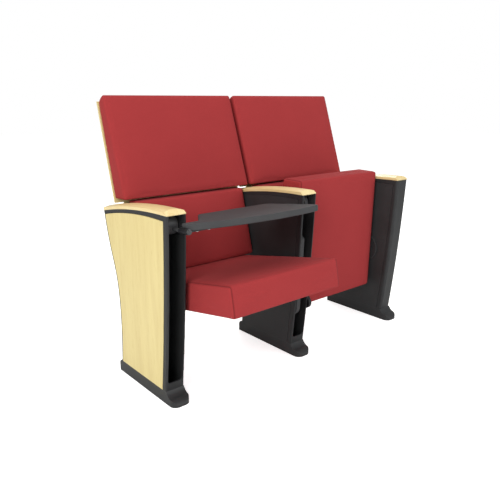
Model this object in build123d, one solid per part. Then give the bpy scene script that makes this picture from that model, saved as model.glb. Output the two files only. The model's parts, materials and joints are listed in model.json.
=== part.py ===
"""Two-place lecture-hall chair: three pedestals, two tip-up seats, two fold-away writing tablets.

Millimetres. X runs along the row, Y points to the rear, Z is up.
The origin is on the floor under the middle of the centre pedestal.
Each piece is written as one STEP file to parts/.
"""

from build123d import *
from math import asin, degrees, sqrt
import os

# ---------------------------------------------------------------- driving sizes
seat_pitch = 560.0            # centre to centre of neighbouring pedestals

# pedestal
pedestal_width = 69.0
front_low = (-146.5, 20.0)    # front edge, seen from the side: (y, z) at three heights
front_middle = (-179.5, 340.0)
front_high = (-198.0, 660.0)
rear_edge = [(148, 20), (136, 150), (134, 230), (150, 375), (181, 468), (207, 575), (217, 650)]
side_wall = 6.5
rear_wall = 4.0
lip_wall = 6.0                # front wall under the tablet slot
closed_front_wall = 16.0      # front wall of the pedestal that has no slot
closed_front_round = 12.0
slot_front_round = 5.0
slot_lip_height = 70.0
slot_corner_round = 12.0

# side panels
panel_thickness = 4.0
panel_front_inset = 20.0
panel_rear_inset = 3.0
panel_gap = 2.0
panel_crest = (-125.7, 612.8)
panel_radius = 1474.0

# foot
foot_height = 43.5
foot_front = -194.0
foot_rear = 165.0
foot_nose_round = 24.0
foot_heel_round = 16.0
base_plate_thickness = 8.0
base_plate_play = 0.5
base_front_inset = 64.5       # from the foot's ends to its opening for the base plate
base_rear_inset = 37.5
anchor_hole_radius = 5.5
anchor_spacing = 210.0

# armrest
armrest_width = 69.6
armrest_crest = (-185.6, 627.8)
armrest_radius = 1885.0
armrest_front = -194.0
armrest_rear = 210.0
armrest_edge = 10.0
armrest_crown = 6.0
armrest_bevel = 11.0
armrest_bevel_turn = 35.0
armrest_bevel_length = 60.0
armrest_edge_round = 1.5

# steel frame inside a pedestal
plate_thickness = 4.0
column_front = 50.0
column_depth = 40.0
column_wall = 3.0
pivot_arm_front = -90.0
pivot_arm_height = 70.0
tablet_arm_height = 60.0
armrest_bar_places = (20.0, 140.0)
armrest_bar_width = 26.0
armrest_bar_thickness = 8.0
armrest_screw_spread = 12.0
armrest_screw_radius = 2.5
armrest_screw_length = 17.0
armrest_screw_head = (4.5, 3.0)   # radius and height

# seat, described flat about its pivot and then sloped
seat_side_gap = 15.0          # between a pedestal and a seat cushion
seat_front_reach = 342.0
seat_rear_reach = 167.5
seat_below_pivot = 36.2
seat_thickness = 98.5
seat_slope = 10.8
seat_round = 10.0
seat_tip_angle = 78.0
seat_pivot = (-56.0, 319.0)
pivot_pin_radius = 8.0
pivot_pin_head_radius = 12.0
pivot_pin_head_length = 3.0
running_clearance = 0.05
close_clearance = 0.2         # round pins and bolts that don't turn in their holes
screw_hole_clearance = 0.1
screw_tip_clearance = 0.5
seat_tube_radius = 16.0
seat_bush_wall = 3.0
seat_bush_length = 22.0
hinge_plate_thickness = 5.0
hinge_plate_radius = 34.0
rail_width = 30.0
rail_height = 12.0
rail_inset = 78.0             # from the cushion's side to a rail's middle
rail_front = 305.0
board_thickness = 12.0
board_side_inset = 23.0
board_front = 318.0
board_rear = 135.0
foam_clearance = 0.3

# hinge housing between a pedestal and a seat
housing_radius = 58.0
housing_depth = 8.0
housing_wall = 2.0
housing_boss = 14.0
housing_rim_round = 3.0
hinge_gap = 0.6
spring_radius = 20.0
spring_wire = 1.2
spring_pitch = 2.6
spring_turns_height = 2.6

# seat stops
stop_arm_width = 21.0
stop_tipped_angle = -51.5     # of the stop arm when the seat is tipped up
paddle_reach = 145.0
paddle_length = 62.0
paddle_width = 50.0
paddle_round = 24.0
paddle_rim_round = 3.0
paddle_clearance = 1.5
stop_reach = 92.0
stop_length = 34.0
stop_thickness = 18.0
stop_depth = 13.8
stop_round = 5.0
bumper_gap = 0.4
bumper_thickness = 8.0
bumper_length = 20.0
bumper_inset = 4.0

# back
back_gap = 6.5                # from the pedestal's middle to the edge of an upper back
shell_thickness = 8.0
shell_low_z = 352.0
shell_step = (210.6, 607.7)    # rear face of the shell, seen from the side
shell_high = (297.0, 947.5)
upper_front_low = (131.5, 625.0)
upper_front_high = (250.0, 973.0)
upper_rear_high_z = 951.0
upper_rear_low_z = 621.0
upper_top_round = 14.0
lower_front_low = (59.0, 362.0)
lower_front_high = (125.6, 618.5)
lower_thickness = 50.0
lower_side_gap = 6.5
back_board_thickness = 9.0
lower_board_margin = 12.0
upper_board_margin = 30.0
bracket_thickness = 4.0
bracket_reach = 42.0
bracket_span = (430.0, 562.0)
bracket_shell_top = 604.0     # the leg on the shell also closes the gap beside the pedestal
bracket_shell_gap = 1.3       # from the pedestal, so that this leg clears the armrest
bracket_bolt_heights = (452.0, 540.0)
bracket_bolt_radius = 4.0
bracket_bolt_inset = 20.0
shell_screw_radius = 2.5
shell_screw_bite = 5.0
shell_screw_head = (4.5, 2.5)
shell_screw_offset = 14.0     # from the bracket's inner end
bolt_nut_size = (7.5, 6.0)    # corner radius and height
bolt_past_nut = 2.0
batten_heights = (392.0, 585.0)
batten_height = 24.0
batten_side_inset = 60.0

# writing tablet; a is measured across from the flip axis, b forward from the swing pivot
tablet_pivot = (-140.0, 590.0)
tablet_side_offset = 5.0      # flip axis from the pedestal's middle
tablet_drop = 11.0            # flip axis below the swing pivot
tablet_tilt = 4.0
tablet_stow_lean = 3.0
tablet_thickness = 21.0
tablet_left_end = 2.0
tablet_neck_end = 64.0
tablet_neck_back = 68.0
tablet_back = -40.0
tablet_back_left = 137.0
tablet_back_right_gap = 124.0 # from the next pedestal's middle
tablet_tip_gap = 43.0
tablet_tip_forward = 143.0
tablet_front_bulge = (270.0, 160.0)
tablet_left_front = 98.0
tablet_tip_round = 16.0
tablet_back_right_round = 40.0
tablet_back_left_round = 15.0
tablet_neck_round = 10.0
tablet_left_back_round = 5.0
tablet_left_front_round = 10.0
tablet_edge_round = 4.0
tablet_shaft_radius = 7.0
hub_radius = 30.0
hub_half_width = 22.0
rod_radius = 6.0
barrel_radius = 9.5
barrel_start = 66.0
barrel_end = 108.0
barrel_groove_play = 0.7
barrel_groove_length = 54.0
bracket_plate_end = 94.0
bracket_plate_thickness = 3.5
tablet_screw_radius = 2.2
tablet_screw_bite = 12.0
tablet_screw_head = (4.2, 2.0)
tablet_screw_places = [(38, 78), (38, 96), (80, 78), (80, 96)]
grip_width = 9.0
grip_height = 24.0
grip_depth = 13.0

# ---------------------------------------------------------------- derived sizes
half = pedestal_width / 2
cavity_half = half - side_wall
plate_outer = cavity_half
plate_inner = cavity_half - plate_thickness
column_half = plate_inner
housing_face = half + housing_depth
hinge_plate_start = housing_face + hinge_gap
hinge_plate_end = hinge_plate_start + hinge_plate_thickness
seat_half_width = seat_pitch / 2 - half - seat_side_gap
board_half_width = seat_half_width - board_side_inset
rail_spread = seat_half_width - rail_inset
tablet_tip = seat_pitch - tablet_tip_gap
tablet_back_right = seat_pitch - tablet_back_right_gap
lower_half_width = seat_pitch / 2 - half - lower_side_gap
upper_half_width = seat_pitch / 2 - back_gap
shell_lower_half = lower_half_width
shell_lean = (shell_high[0] - shell_step[0]) / (shell_high[1] - shell_step[1])
shell_run = shell_thickness * sqrt(1 + shell_lean ** 2)
armrest_centre_z = armrest_crest[1] - armrest_radius
tablet_swing = 180.0 + tablet_tilt + tablet_stow_lean
far = 900.0

pedestal_places = {"left": -seat_pitch, "centre": 0.0, "right": seat_pitch}
slotted = {"left": True, "centre": True, "right": False}
seat_sides = {"left": (1,), "centre": (-1, 1), "right": (-1,)}
seat_places = {"left": -seat_pitch / 2, "right": seat_pitch / 2}
seat_tips = {"left": 0.0, "right": seat_tip_angle}


# ---------------------------------------------------------------- helpers
def prism(face, x_from, x_to):
    """A (y, z) face pushed along X from x_from to x_to."""
    return extrude(Plane.YZ.offset(x_from) * face, amount=x_to - x_from)


def block(x_from, x_to, y_from, y_to, z_from, z_to):
    size = Box(x_to - x_from, y_to - y_from, z_to - z_from)
    return Pos((x_from + x_to) / 2, (y_from + y_to) / 2, (z_from + z_to) / 2) * size


def rod_x(radius, x_from, x_to, y=0.0, z=0.0):
    return Pos((x_from + x_to) / 2, y, z) * Rot(0, 90, 0) * Cylinder(radius, x_to - x_from)


def band(z_from, z_to):
    return Pos(0, (z_from + z_to) / 2) * Rectangle(far, z_to - z_from)


def sided(shape, direction):
    """A piece made on the +X side of a pedestal, or its mirror image on the -X side."""
    return shape if direction > 0 else mirror(shape, about=Plane.YZ)


def write(name, *shapes):
    solids = [solid for shape in shapes for solid in shape.solids()]
    whole = solids[0] if len(solids) == 1 else Compound(children=solids)
    export_step(whole, f"parts/{name}.step")


# ---------------------------------------------------------------- pedestal outlines
def between_edges(front_inset, rear_inset):
    """The side view between the front arc and the rear curve, each moved inwards."""
    front = ThreePointArc(
        (front_low[0] + front_inset, front_low[1]),
        (front_middle[0] + front_inset, front_middle[1]),
        (front_high[0] + front_inset, front_high[1]),
    )
    rear = Spline([(y - rear_inset, z) for y, z in rear_edge])
    top = Line(front @ 1, rear @ 1)
    bottom = Line(rear @ 0, front @ 0)
    return make_face(Wire([front, top, rear, bottom]))


def under_armrest():
    return Pos(armrest_crest[0], armrest_centre_z) * Circle(armrest_radius)


def armrest_underside(y):
    return armrest_centre_z + sqrt(armrest_radius ** 2 - (y - armrest_crest[0]) ** 2)


def panel_face(gap):
    """Outline of a side panel, or of its pocket when gap is 0."""
    strip = between_edges(panel_front_inset + gap, panel_rear_inset + gap)
    crest = Pos(panel_crest[0], panel_crest[1] - panel_radius - gap) * Circle(panel_radius)
    return strip & crest & band(foot_height, 700)


# ---------------------------------------------------------------- pedestals
def make_casing(name):
    """Moulded hollow body: open along the top and the bottom, and slotted at the front."""
    outline = between_edges(0, 0) & under_armrest() & band(foot_height, 700)
    casing = prism(outline, -half, half)
    edges = casing.faces().filter_by(GeomType.CYLINDER).sort_by(Axis.Y)[0].edges()
    corners = [edge for edge in edges if edge.length > 300]
    rounding = slot_front_round if slotted[name] else closed_front_round
    casing = fillet(corners, rounding)
    front_wall = lip_wall if slotted[name] else closed_front_wall
    casing -= prism(between_edges(front_wall, rear_wall), -cavity_half, cavity_half)
    pocket = panel_face(0)
    casing -= prism(pocket, half - panel_thickness, half + 1)
    casing -= prism(pocket, -half - 1, -half + panel_thickness)
    if slotted[name]:
        opening = RectangleRounded(2 * cavity_half, 2 * (far - slot_lip_height), slot_corner_round)
        cutter = extrude(Plane.XZ * Pos(0, far) * opening, amount=far)
        casing -= Pos(0, -100, 0) * cutter
    for direction in seat_sides[name]:
        casing -= sided(side_holes(), direction)
    return casing


def side_holes():
    """Clearance holes through the +X side of a pedestal for the seat pin and back bolts."""
    holes = rod_x(pivot_pin_radius + close_clearance, 0, far / 10, *seat_pivot)
    for z in bracket_bolt_heights:
        holes += rod_x(bracket_bolt_radius + close_clearance, 0, far / 10, bolt_y(z), z)
    return holes


def make_panel(name, direction):
    panel = prism(panel_face(panel_gap), half - panel_thickness, half)
    if direction in seat_sides[name]:
        panel -= side_holes()
    return sided(panel, direction)


def make_foot():
    """Cast foot: a band round the base plate, with a low toe and a rounded heel."""
    heel = foot_heel_round
    neck_start = (-149.5, foot_height)
    toe_start = (-168.0, 25.5)
    outline = Wire([
        Line((foot_front, 0), (foot_rear, 0)),
        Line((foot_rear, 0), (foot_rear, foot_height - heel)),
        ThreePointArc((foot_rear, foot_height - heel),
                      (foot_rear - heel * 0.293, foot_height - heel * 0.293),
                      (foot_rear - heel, foot_height)),
        Line((foot_rear - heel, foot_height), neck_start),
        ThreePointArc(neck_start, (-157.0, 33.0), toe_start),
        ThreePointArc(toe_start, (foot_front + 10.5, 19.5), (foot_front, 8)),
        Line((foot_front, 8), (foot_front, 0)),
    ])
    foot = prism(make_face(outline), -half, half)
    plan = Pos(0, (foot_front + foot_rear) / 2) * Rectangle(pedestal_width, foot_rear - foot_front)
    nose = plan.vertices().sort_by(Axis.Y)[:2]
    plan = fillet(nose, foot_nose_round)
    foot &= extrude(plan, amount=foot_height)
    return foot - block(-cavity_half, cavity_half, *base_span(), -1, foot_height + 1)


def base_span():
    return foot_front + base_front_inset, foot_rear - base_rear_inset


def make_frame(name):
    """Welded steel frame: base plate, box column and two cut side plates."""
    base_front, base_rear = base_span()
    side = cavity_half - base_plate_play
    plate = block(-side, side, base_front + base_plate_play, base_rear - base_plate_play,
                  0, base_plate_thickness)
    for y in (-anchor_spacing / 2, anchor_spacing / 2):
        plate -= Pos(0, y, 0) * Cylinder(anchor_hole_radius, 4 * base_plate_thickness)
    column_rear = column_front + column_depth
    column = block(-column_half, column_half, column_front, column_rear, base_plate_thickness, 600)
    column -= block(-column_half + column_wall, column_half - column_wall,
                    column_front + column_wall, column_rear - column_wall,
                    base_plate_thickness, 600)
    pivot_y, pivot_z = seat_pivot
    spine = Pos(column_front + column_depth / 2, 330) * Rectangle(column_depth, 644)
    pivot_arm = Polyline((pivot_arm_front, pivot_z - pivot_arm_height / 2),
                         (column_front + 5, pivot_z - pivot_arm_height / 2),
                         (column_front + 5, pivot_z + pivot_arm_height / 2),
                         (pivot_arm_front, pivot_z + pivot_arm_height / 2), close=True)
    top_arm = Polyline((-172, 620 - tablet_arm_height), (200, 620 - tablet_arm_height),
                       (200, 660), (-172, 660), close=True)
    bolt_low, bolt_high = bracket_bolt_heights
    rear_lug = Polyline((column_rear - 5, bolt_low - 25), (bolt_y(bolt_low) + 12, bolt_low - 25),
                        (bolt_y(bolt_high) + 12, bolt_high + 25), (column_rear - 5, bolt_high + 25),
                        close=True)
    outline = spine + make_face(pivot_arm) + make_face(top_arm) + make_face(rear_lug)
    outline &= between_edges(closed_front_wall, rear_wall)
    outline &= under_armrest()
    outline &= band(base_plate_thickness, 700)
    frame = plate + column
    for direction in (-1, 1):
        side_plate = prism(outline, plate_inner, plate_outer)
        if direction in seat_sides[name]:
            side_plate -= side_holes()
        if slotted[name]:
            side_plate -= rod_x(tablet_shaft_radius + running_clearance, 0, far / 10, *tablet_pivot)
        frame += sided(side_plate, direction)
    for y in armrest_bar_places:
        bar = Pos(y, armrest_underside(y)) * Rectangle(armrest_bar_width, 2 * armrest_bar_thickness)
        frame += prism(bar & under_armrest(), -plate_inner, plate_inner)
    for x, y, z in armrest_screw_places():
        frame -= Pos(x, y, z) * Cylinder(armrest_screw_radius + close_clearance, 60)
    return frame


def armrest_screw_places():
    """Places of the heads' upper faces, under the two armrest bars."""
    places = []
    for y in armrest_bar_places:
        z = armrest_underside(y) - armrest_bar_thickness
        places += [(-armrest_screw_spread, y, z), (armrest_screw_spread, y, z)]
    return places


def make_armrest_screws():
    screws = []
    for x, y, z in armrest_screw_places():
        shank = Pos(x, y, z + armrest_screw_length / 2)
        shank *= Cylinder(armrest_screw_radius, armrest_screw_length)
        head = Pos(x, y, z - armrest_screw_head[1] / 2) * Cylinder(*armrest_screw_head)
        screws.append(shank + head)
    return screws


def make_armrest():
    """Solid wood: a crowned section turned about the distant centre of the armrest's arc."""
    half_width = armrest_width / 2
    top = armrest_edge + armrest_crown
    section = make_face(Wire([
        Line((-half_width, 0), (half_width, 0)),
        Line((half_width, 0), (half_width, armrest_edge)),
        ThreePointArc((half_width, armrest_edge), (0, top), (-half_width, armrest_edge)),
        Line((-half_width, armrest_edge), (-half_width, 0)),
    ]))
    crest_y, crest_z = armrest_crest
    front_angle = degrees(asin((armrest_front - crest_y) / armrest_radius))
    rear_angle = degrees(asin((armrest_rear - crest_y) / armrest_radius))
    centre = Pos(0, crest_y, armrest_centre_z)
    start = centre * Rot(-front_angle, 0, 0) * Pos(0, 0, armrest_radius) * Rot(90, 0, 0) * section
    axis = Axis((0, crest_y, armrest_centre_z), (-1, 0, 0))
    armrest = revolve(start, axis, revolution_arc=rear_angle - front_angle)
    long_edges = [edge for edge in armrest.edges() if edge.length > 300]
    armrest = fillet(long_edges, armrest_edge_round)
    bevel = Box(2 * armrest_width, armrest_bevel_length, 2 * armrest_bevel)
    armrest -= Pos(0, armrest_front, crest_z + top) * Rot(armrest_bevel_turn, 0, 0) * bevel
    for x, y, z in armrest_screw_places():
        depth = armrest_screw_length + screw_tip_clearance
        hole = Cylinder(armrest_screw_radius + screw_hole_clearance, depth)
        armrest -= Pos(x, y, z + depth / 2) * hole
    return armrest


# ---------------------------------------------------------------- seats
def at_pivot(shape, turn):
    """Turn a shape made about the seat pivot so that its front lifts by turn degrees."""
    return Pos(0, *seat_pivot) * Rot(-turn, 0, 0) * shape


def seat_inner_solid(play):
    """Tube, rails and board as one solid, grown by play, to cut their room in the foam."""
    solid = rod_x(seat_tube_radius + play, -far, far)
    for shape in rails(play):
        solid += shape
    return solid + seat_board(play)


def rails(play):
    top = board_level()
    shapes = []
    for x in (-rail_spread, rail_spread):
        shapes.append(block(x - rail_width / 2 - play, x + rail_width / 2 + play,
                            -rail_front - play, 0, top - rail_height - play, top + play))
    reach = rail_spread + rail_width / 2 + play
    shapes.append(block(-reach, reach, -rail_front - play, -rail_front + rail_width + play,
                        top - rail_height - play, top + play))
    return shapes


def board_level():
    return seat_tube_radius + foam_clearance


def seat_board(play):
    return block(-board_half_width - play, board_half_width + play, -board_front - play,
                 board_rear + play, board_level() - play, board_level() + board_thickness + play)


def make_seat(name):
    turn = seat_slope + seat_tips[name]
    place = Pos(seat_places[name], 0, 0)
    profile = Pos((seat_rear_reach - seat_front_reach) / 2, seat_thickness / 2 - seat_below_pivot)
    profile *= Rectangle(seat_front_reach + seat_rear_reach, seat_thickness)
    profile = fillet(profile.vertices(), seat_round)
    cushion = prism(profile, -seat_half_width, seat_half_width) - seat_inner_solid(foam_clearance)
    tube_half = seat_pitch / 2 - hinge_plate_start
    bore = pivot_pin_radius + running_clearance + seat_bush_wall
    frame = rod_x(seat_tube_radius, -tube_half, tube_half)
    for shape in rails(0):
        frame += shape
    disc_inner = seat_pitch / 2 - hinge_plate_end
    disc = rod_x(hinge_plate_radius, disc_inner, tube_half)
    frame += disc + mirror(disc, about=Plane.YZ)
    frame += Rot(-(stop_tipped_angle - seat_tip_angle - seat_slope), 0, 0) * make_stop_arm(tube_half)
    frame -= rod_x(bore, -far, far)
    bushes = []
    for direction in (-1, 1):
        bush = rod_x(bore, tube_half - seat_bush_length, tube_half)
        bush -= rod_x(pivot_pin_radius + running_clearance, 0, far)
        bushes.append(sided(bush, direction))
    write(f"{name}_seat_cushion", place * at_pivot(cushion, turn))
    write(f"{name}_seat_frame", place * at_pivot(frame, turn))
    write(f"{name}_seat_board", place * at_pivot(seat_board(0), turn))
    write(f"{name}_seat_bushes", *[place * at_pivot(bush, turn) for bush in bushes])


def make_hinge_housing():
    """Round cup on the +X side of a pedestal, open towards the pedestal."""
    housing = rod_x(housing_radius, half, housing_face)
    rim = housing.edges().filter_by(GeomType.CIRCLE).sort_by(Axis.X)[-1]
    housing = fillet(rim, housing_rim_round)
    hollow = rod_x(housing_radius - housing_wall, half, housing_face - housing_wall)
    hollow -= rod_x(housing_boss, half, housing_face)
    housing -= hollow + rod_x(pivot_pin_radius + close_clearance, 0, far)
    return Pos(0, *seat_pivot) * housing


def make_pivot_pin():
    pin = rod_x(pivot_pin_radius, plate_inner, hinge_plate_start + seat_bush_length)
    pin += rod_x(pivot_pin_head_radius, plate_inner - pivot_pin_head_length, plate_inner)
    return Pos(0, *seat_pivot) * pin


def make_return_spring():
    coil = Helix(pitch=spring_pitch, height=spring_turns_height, radius=spring_radius)
    wire = Plane(origin=coil @ 0, z_dir=coil % 0) * Circle(spring_wire)
    spring = sweep(wire, path=coil, is_frenet=True)
    return Pos(half + spring_wire + 0.4, *seat_pivot) * Rot(0, 90, 0) * spring


def make_stop_arm(tube_half):
    """Arm on the seat's -X side, pointing forward, with a rounded paddle at its end."""
    side = stop_arm_width / 2
    arm = block(-tube_half, -tube_half + hinge_plate_thickness, -paddle_reach, 0, -side, side)
    outline = Pos(-paddle_reach, 0) * RectangleRounded(paddle_length, paddle_width, paddle_round)
    outer = -seat_pitch / 2 + half + paddle_clearance
    paddle = prism(outline, outer, -tube_half + hinge_plate_thickness)
    rim = paddle.faces().sort_by(Axis.X)[0].edges()
    return arm + fillet(rim, paddle_rim_round)


def make_stops():
    """Stops on the +X side of a pedestal for the raised and the lowered seat, with their bumpers."""
    arm_side = stop_arm_width / 2
    face = arm_side + bumper_gap + bumper_thickness
    middle = stop_reach - bumper_length / 2
    stops, bumpers = [], []
    for sign, angle in ((1, stop_tipped_angle), (-1, stop_tipped_angle - seat_tip_angle)):
        low, high = sorted((sign * face, sign * (face + stop_thickness)))
        stop = block(half, half + stop_depth, -middle - stop_length / 2, -middle + stop_length / 2, low, high)
        stop = fillet(stop.edges().filter_by(Axis.X), stop_round)
        stops.append(at_pivot(stop, angle))
        low, high = sorted((sign * (arm_side + bumper_gap), sign * face))
        pad = block(half + bumper_inset, half + stop_depth,
                    -stop_reach, -stop_reach + bumper_length, low, high)
        bumpers.append(at_pivot(pad, angle))
    return stops, bumpers


# ---------------------------------------------------------------- backs
def shell_rear(z):
    return shell_step[0] + (z - shell_step[1]) * shell_lean


def shell_front(z):
    return shell_rear(z) - shell_run


def bolt_y(z):
    return shell_front(z) - bracket_bolt_inset


def leaning(front_shift, rear_shift, z_from, z_to):
    """A slab that follows the shell's lean; shifts are measured forward of its front face."""
    return make_face(Polyline(
        (shell_front(z_from) - front_shift, z_from), (shell_front(z_from) - rear_shift, z_from),
        (shell_front(z_to) - rear_shift, z_to), (shell_front(z_to) - front_shift, z_to), close=True))


def lower_rear(z):
    low_y, low_z = lower_front_low
    high_y, high_z = lower_front_high
    return low_y + (z - low_z) * (high_y - low_y) / (high_z - low_z) + lower_thickness


def make_back(name):
    place = Pos(seat_places[name], 0, 0)
    low_z, step_z, high_z = shell_low_z, shell_step[1], shell_high[1]
    shell = prism(leaning(0, -shell_run, step_z, high_z), -upper_half_width, upper_half_width)
    shell += prism(leaning(0, -shell_run, low_z, step_z), -shell_lower_half, shell_lower_half)
    for x, z in shell_screw_places():
        shell -= shell_screw_hole(x, z)

    upper = make_face(Polyline(upper_front_low, upper_front_high,
                               (shell_front(upper_rear_high_z), upper_rear_high_z),
                               (shell_front(upper_rear_low_z), upper_rear_low_z), close=True))
    crown = upper.vertices().sort_by(Axis.Y)[-1:] + upper.vertices().sort_by(Axis.Y)[-2:-1]
    upper = fillet(crown, upper_top_round * 0.7)
    upper = prism(upper, -upper_half_width, upper_half_width)
    board_low, board_high = step_z + upper_board_margin, high_z - upper_board_margin
    board_half = upper_half_width - upper_board_margin
    upper_board = prism(leaning(back_board_thickness, 0, board_low, board_high), -board_half, board_half)
    play = foam_clearance
    upper -= prism(leaning(back_board_thickness + play, -1, board_low - play, board_high + play),
                   -board_half - play, board_half + play)

    low_y, cushion_low = lower_front_low
    high_y, cushion_high = lower_front_high
    lower = make_face(Polyline(lower_front_low, lower_front_high, (lower_rear(cushion_high), cushion_high),
                               (lower_rear(cushion_low), cushion_low), close=True))
    lower = fillet(lower.vertices().group_by(Axis.Y)[0] + lower.vertices().sort_by(Axis.Z)[-2:-1], 6.0)
    lower = prism(lower, -lower_half_width, lower_half_width)
    margin = lower_board_margin
    bottom, top = cushion_low + margin, cushion_high - margin
    rear = back_board_thickness * sqrt(1 + shell_lean ** 2)
    lower_board = make_face(Polyline((lower_rear(bottom), bottom), (lower_rear(bottom) + rear, bottom),
                                     (lower_rear(top) + rear, top), (lower_rear(top), top), close=True))
    lower_board = prism(lower_board, -lower_half_width + margin, lower_half_width - margin)

    battens = []
    for z in batten_heights:
        low, high = z - batten_height / 2, z + batten_height / 2
        batten = make_face(Polyline((lower_rear(low) + rear, low), (shell_front(low), low),
                                    (shell_front(high), high), (lower_rear(high) + rear, high), close=True))
        battens.append(prism(batten, -lower_half_width + batten_side_inset,
                              lower_half_width - batten_side_inset))

    write(f"{name}_back_shell", place * shell)
    write(f"{name}_upper_cushion", place * upper)
    write(f"{name}_upper_board", place * upper_board)
    write(f"{name}_lower_cushion", place * lower)
    write(f"{name}_lower_board", place * lower_board)
    write(f"{name}_back_battens", *[place * batten for batten in battens])


def shell_screw_places():
    """Shell screws from the seat's middle, two through each bracket."""
    x = seat_pitch / 2 - half - bracket_reach + shell_screw_offset
    return [(side * x, z) for side in (-1, 1) for z in bracket_bolt_heights]


def shell_frame(x, z):
    """A place on the shell's front face, with its local Z pointing into the board."""
    lean = degrees(asin(shell_lean / sqrt(1 + shell_lean ** 2)))
    return Pos(x, shell_front(z), z) * Rot(-90 - lean, 0, 0)


def shell_screw_hole(x, z):
    depth = shell_screw_bite + screw_tip_clearance
    return shell_frame(x, z) * Cylinder(shell_screw_radius + screw_hole_clearance, 2 * depth)


def make_bracket():
    """Angle on the +X side of a pedestal: one leg on the pedestal, one on the shell."""
    low, high = bracket_span
    run = bracket_thickness * sqrt(1 + shell_lean ** 2)
    side_leg = prism(leaning(bracket_bolt_inset * 2, 0, low, high), half, half + bracket_thickness)
    shell_leg = prism(leaning(run, 0, low, bracket_shell_top), half + bracket_shell_gap, half + bracket_reach)
    bracket = side_leg + shell_leg
    for z in bracket_bolt_heights:
        bracket -= rod_x(bracket_bolt_radius + close_clearance, 0, far, bolt_y(z), z)
        bracket -= bolt_head(bolt_y(z), z)
    for x, z in shell_screw_places():
        hole = Cylinder(shell_screw_radius + close_clearance, bracket_reach)
        bracket -= Pos(seat_pitch / 2, 0, 0) * shell_frame(x, z) * hole
    return bracket


def bolt_head(y, z):
    depth = bracket_thickness
    cone = Cone(bracket_bolt_radius, bracket_bolt_radius + depth, depth)
    return Pos(half + depth / 2, y, z) * Rot(0, 90, 0) * cone


def make_bracket_bolts():
    nut_radius, nut_height = bolt_nut_size
    bolts = []
    for z in bracket_bolt_heights:
        y = bolt_y(z)
        nut = extrude(RegularPolygon(nut_radius, 6), amount=nut_height)
        nut = Pos(plate_inner - nut_height, y, z) * Rot(0, 90, 0) * nut
        shank = rod_x(bracket_bolt_radius, plate_inner - nut_height - bolt_past_nut, half, y, z)
        bolts.append(shank + bolt_head(y, z) + nut)
    return bolts


def make_shell_screws(name):
    screws = []
    for x, z in shell_screw_places():
        length = shell_screw_bite + bracket_thickness
        shank = Pos(0, 0, length / 2 - bracket_thickness) * Cylinder(shell_screw_radius, length)
        head = Pos(0, 0, -bracket_thickness - shell_screw_head[1] / 2) * Cylinder(*shell_screw_head)
        screws.append(Pos(seat_places[name], 0, 0) * shell_frame(x, z) * (shank + head))
    return screws


# ---------------------------------------------------------------- writing tablets
def tablet_outline():
    """Top view of the tablet: x is across from the flip axis, y is to the rear."""
    bulge_across, bulge_forward = tablet_front_bulge
    front = ThreePointArc((tablet_left_end, -tablet_left_front), (bulge_across, -bulge_forward),
                          (tablet_tip, -tablet_tip_forward))
    rest = Polyline((tablet_tip, -tablet_tip_forward), (tablet_back_right, -tablet_back),
                    (tablet_back_left, -tablet_back), (tablet_neck_end, -tablet_neck_back),
                    (tablet_left_end, -tablet_neck_back), (tablet_left_end, -tablet_left_front))
    face = make_face(Wire([front] + rest.edges()))
    radii = {
        (tablet_tip, -tablet_tip_forward): tablet_tip_round,
        (tablet_back_right, -tablet_back): tablet_back_right_round,
        (tablet_back_left, -tablet_back): tablet_back_left_round,
        (tablet_neck_end, -tablet_neck_back): tablet_neck_round,
        (tablet_left_end, -tablet_neck_back): tablet_left_back_round,
        (tablet_left_end, -tablet_left_front): tablet_left_front_round,
    }
    for (x, y), radius in radii.items():
        corner = face.vertices().sort_by_distance((x, y, 0))[0]
        face = fillet(corner, radius)
    return face


def make_tablet_top():
    top = extrude(tablet_outline(), amount=tablet_thickness)
    rims = top.faces().sort_by(Axis.Z)
    top = fillet(rims[-1].edges() + rims[0].edges(), tablet_edge_round)
    for a, b in tablet_screw_places:
        depth = tablet_screw_bite + screw_tip_clearance
        top -= Pos(a, -b, 0) * Cylinder(tablet_screw_radius + screw_hole_clearance, 2 * depth)
    groove = Cylinder(barrel_radius + barrel_groove_play, barrel_groove_length)
    middle = barrel_start - 2 + barrel_groove_length / 2
    return top - Pos(0, -middle, 0) * Rot(90, 0, 0) * groove


def make_tablet_bracket():
    """Barrel round the flip rod, with a plate under the tablet."""
    length = barrel_end - barrel_start
    barrel = Pos(0, -(barrel_start + barrel_end) / 2, 0) * Rot(90, 0, 0) * Cylinder(barrel_radius, length)
    plate = block(0, bracket_plate_end, -barrel_end + 4, -barrel_start - 4, -bracket_plate_thickness, 0)
    plate = fillet(plate.edges().filter_by(Axis.Z).group_by(Axis.X)[-1], 10)
    bracket = barrel + plate
    bracket -= Pos(0, -barrel_start, 0) * Rot(90, 0, 0) * Cylinder(rod_radius + running_clearance, far)
    for a, b in tablet_screw_places:
        bracket -= Pos(a, -b, 0) * Cylinder(tablet_screw_radius + screw_hole_clearance, 2 * tablet_thickness)
    return bracket


def make_tablet_screws():
    screws = []
    for a, b in tablet_screw_places:
        length = bracket_plate_thickness + tablet_screw_bite
        shank = Pos(a, -b, length / 2 - bracket_plate_thickness) * Cylinder(tablet_screw_radius, length)
        head = Pos(a, -b, -bracket_plate_thickness - tablet_screw_head[1] / 2) * Cylinder(*tablet_screw_head)
        screws.append(shank + head)
    return screws


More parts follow.
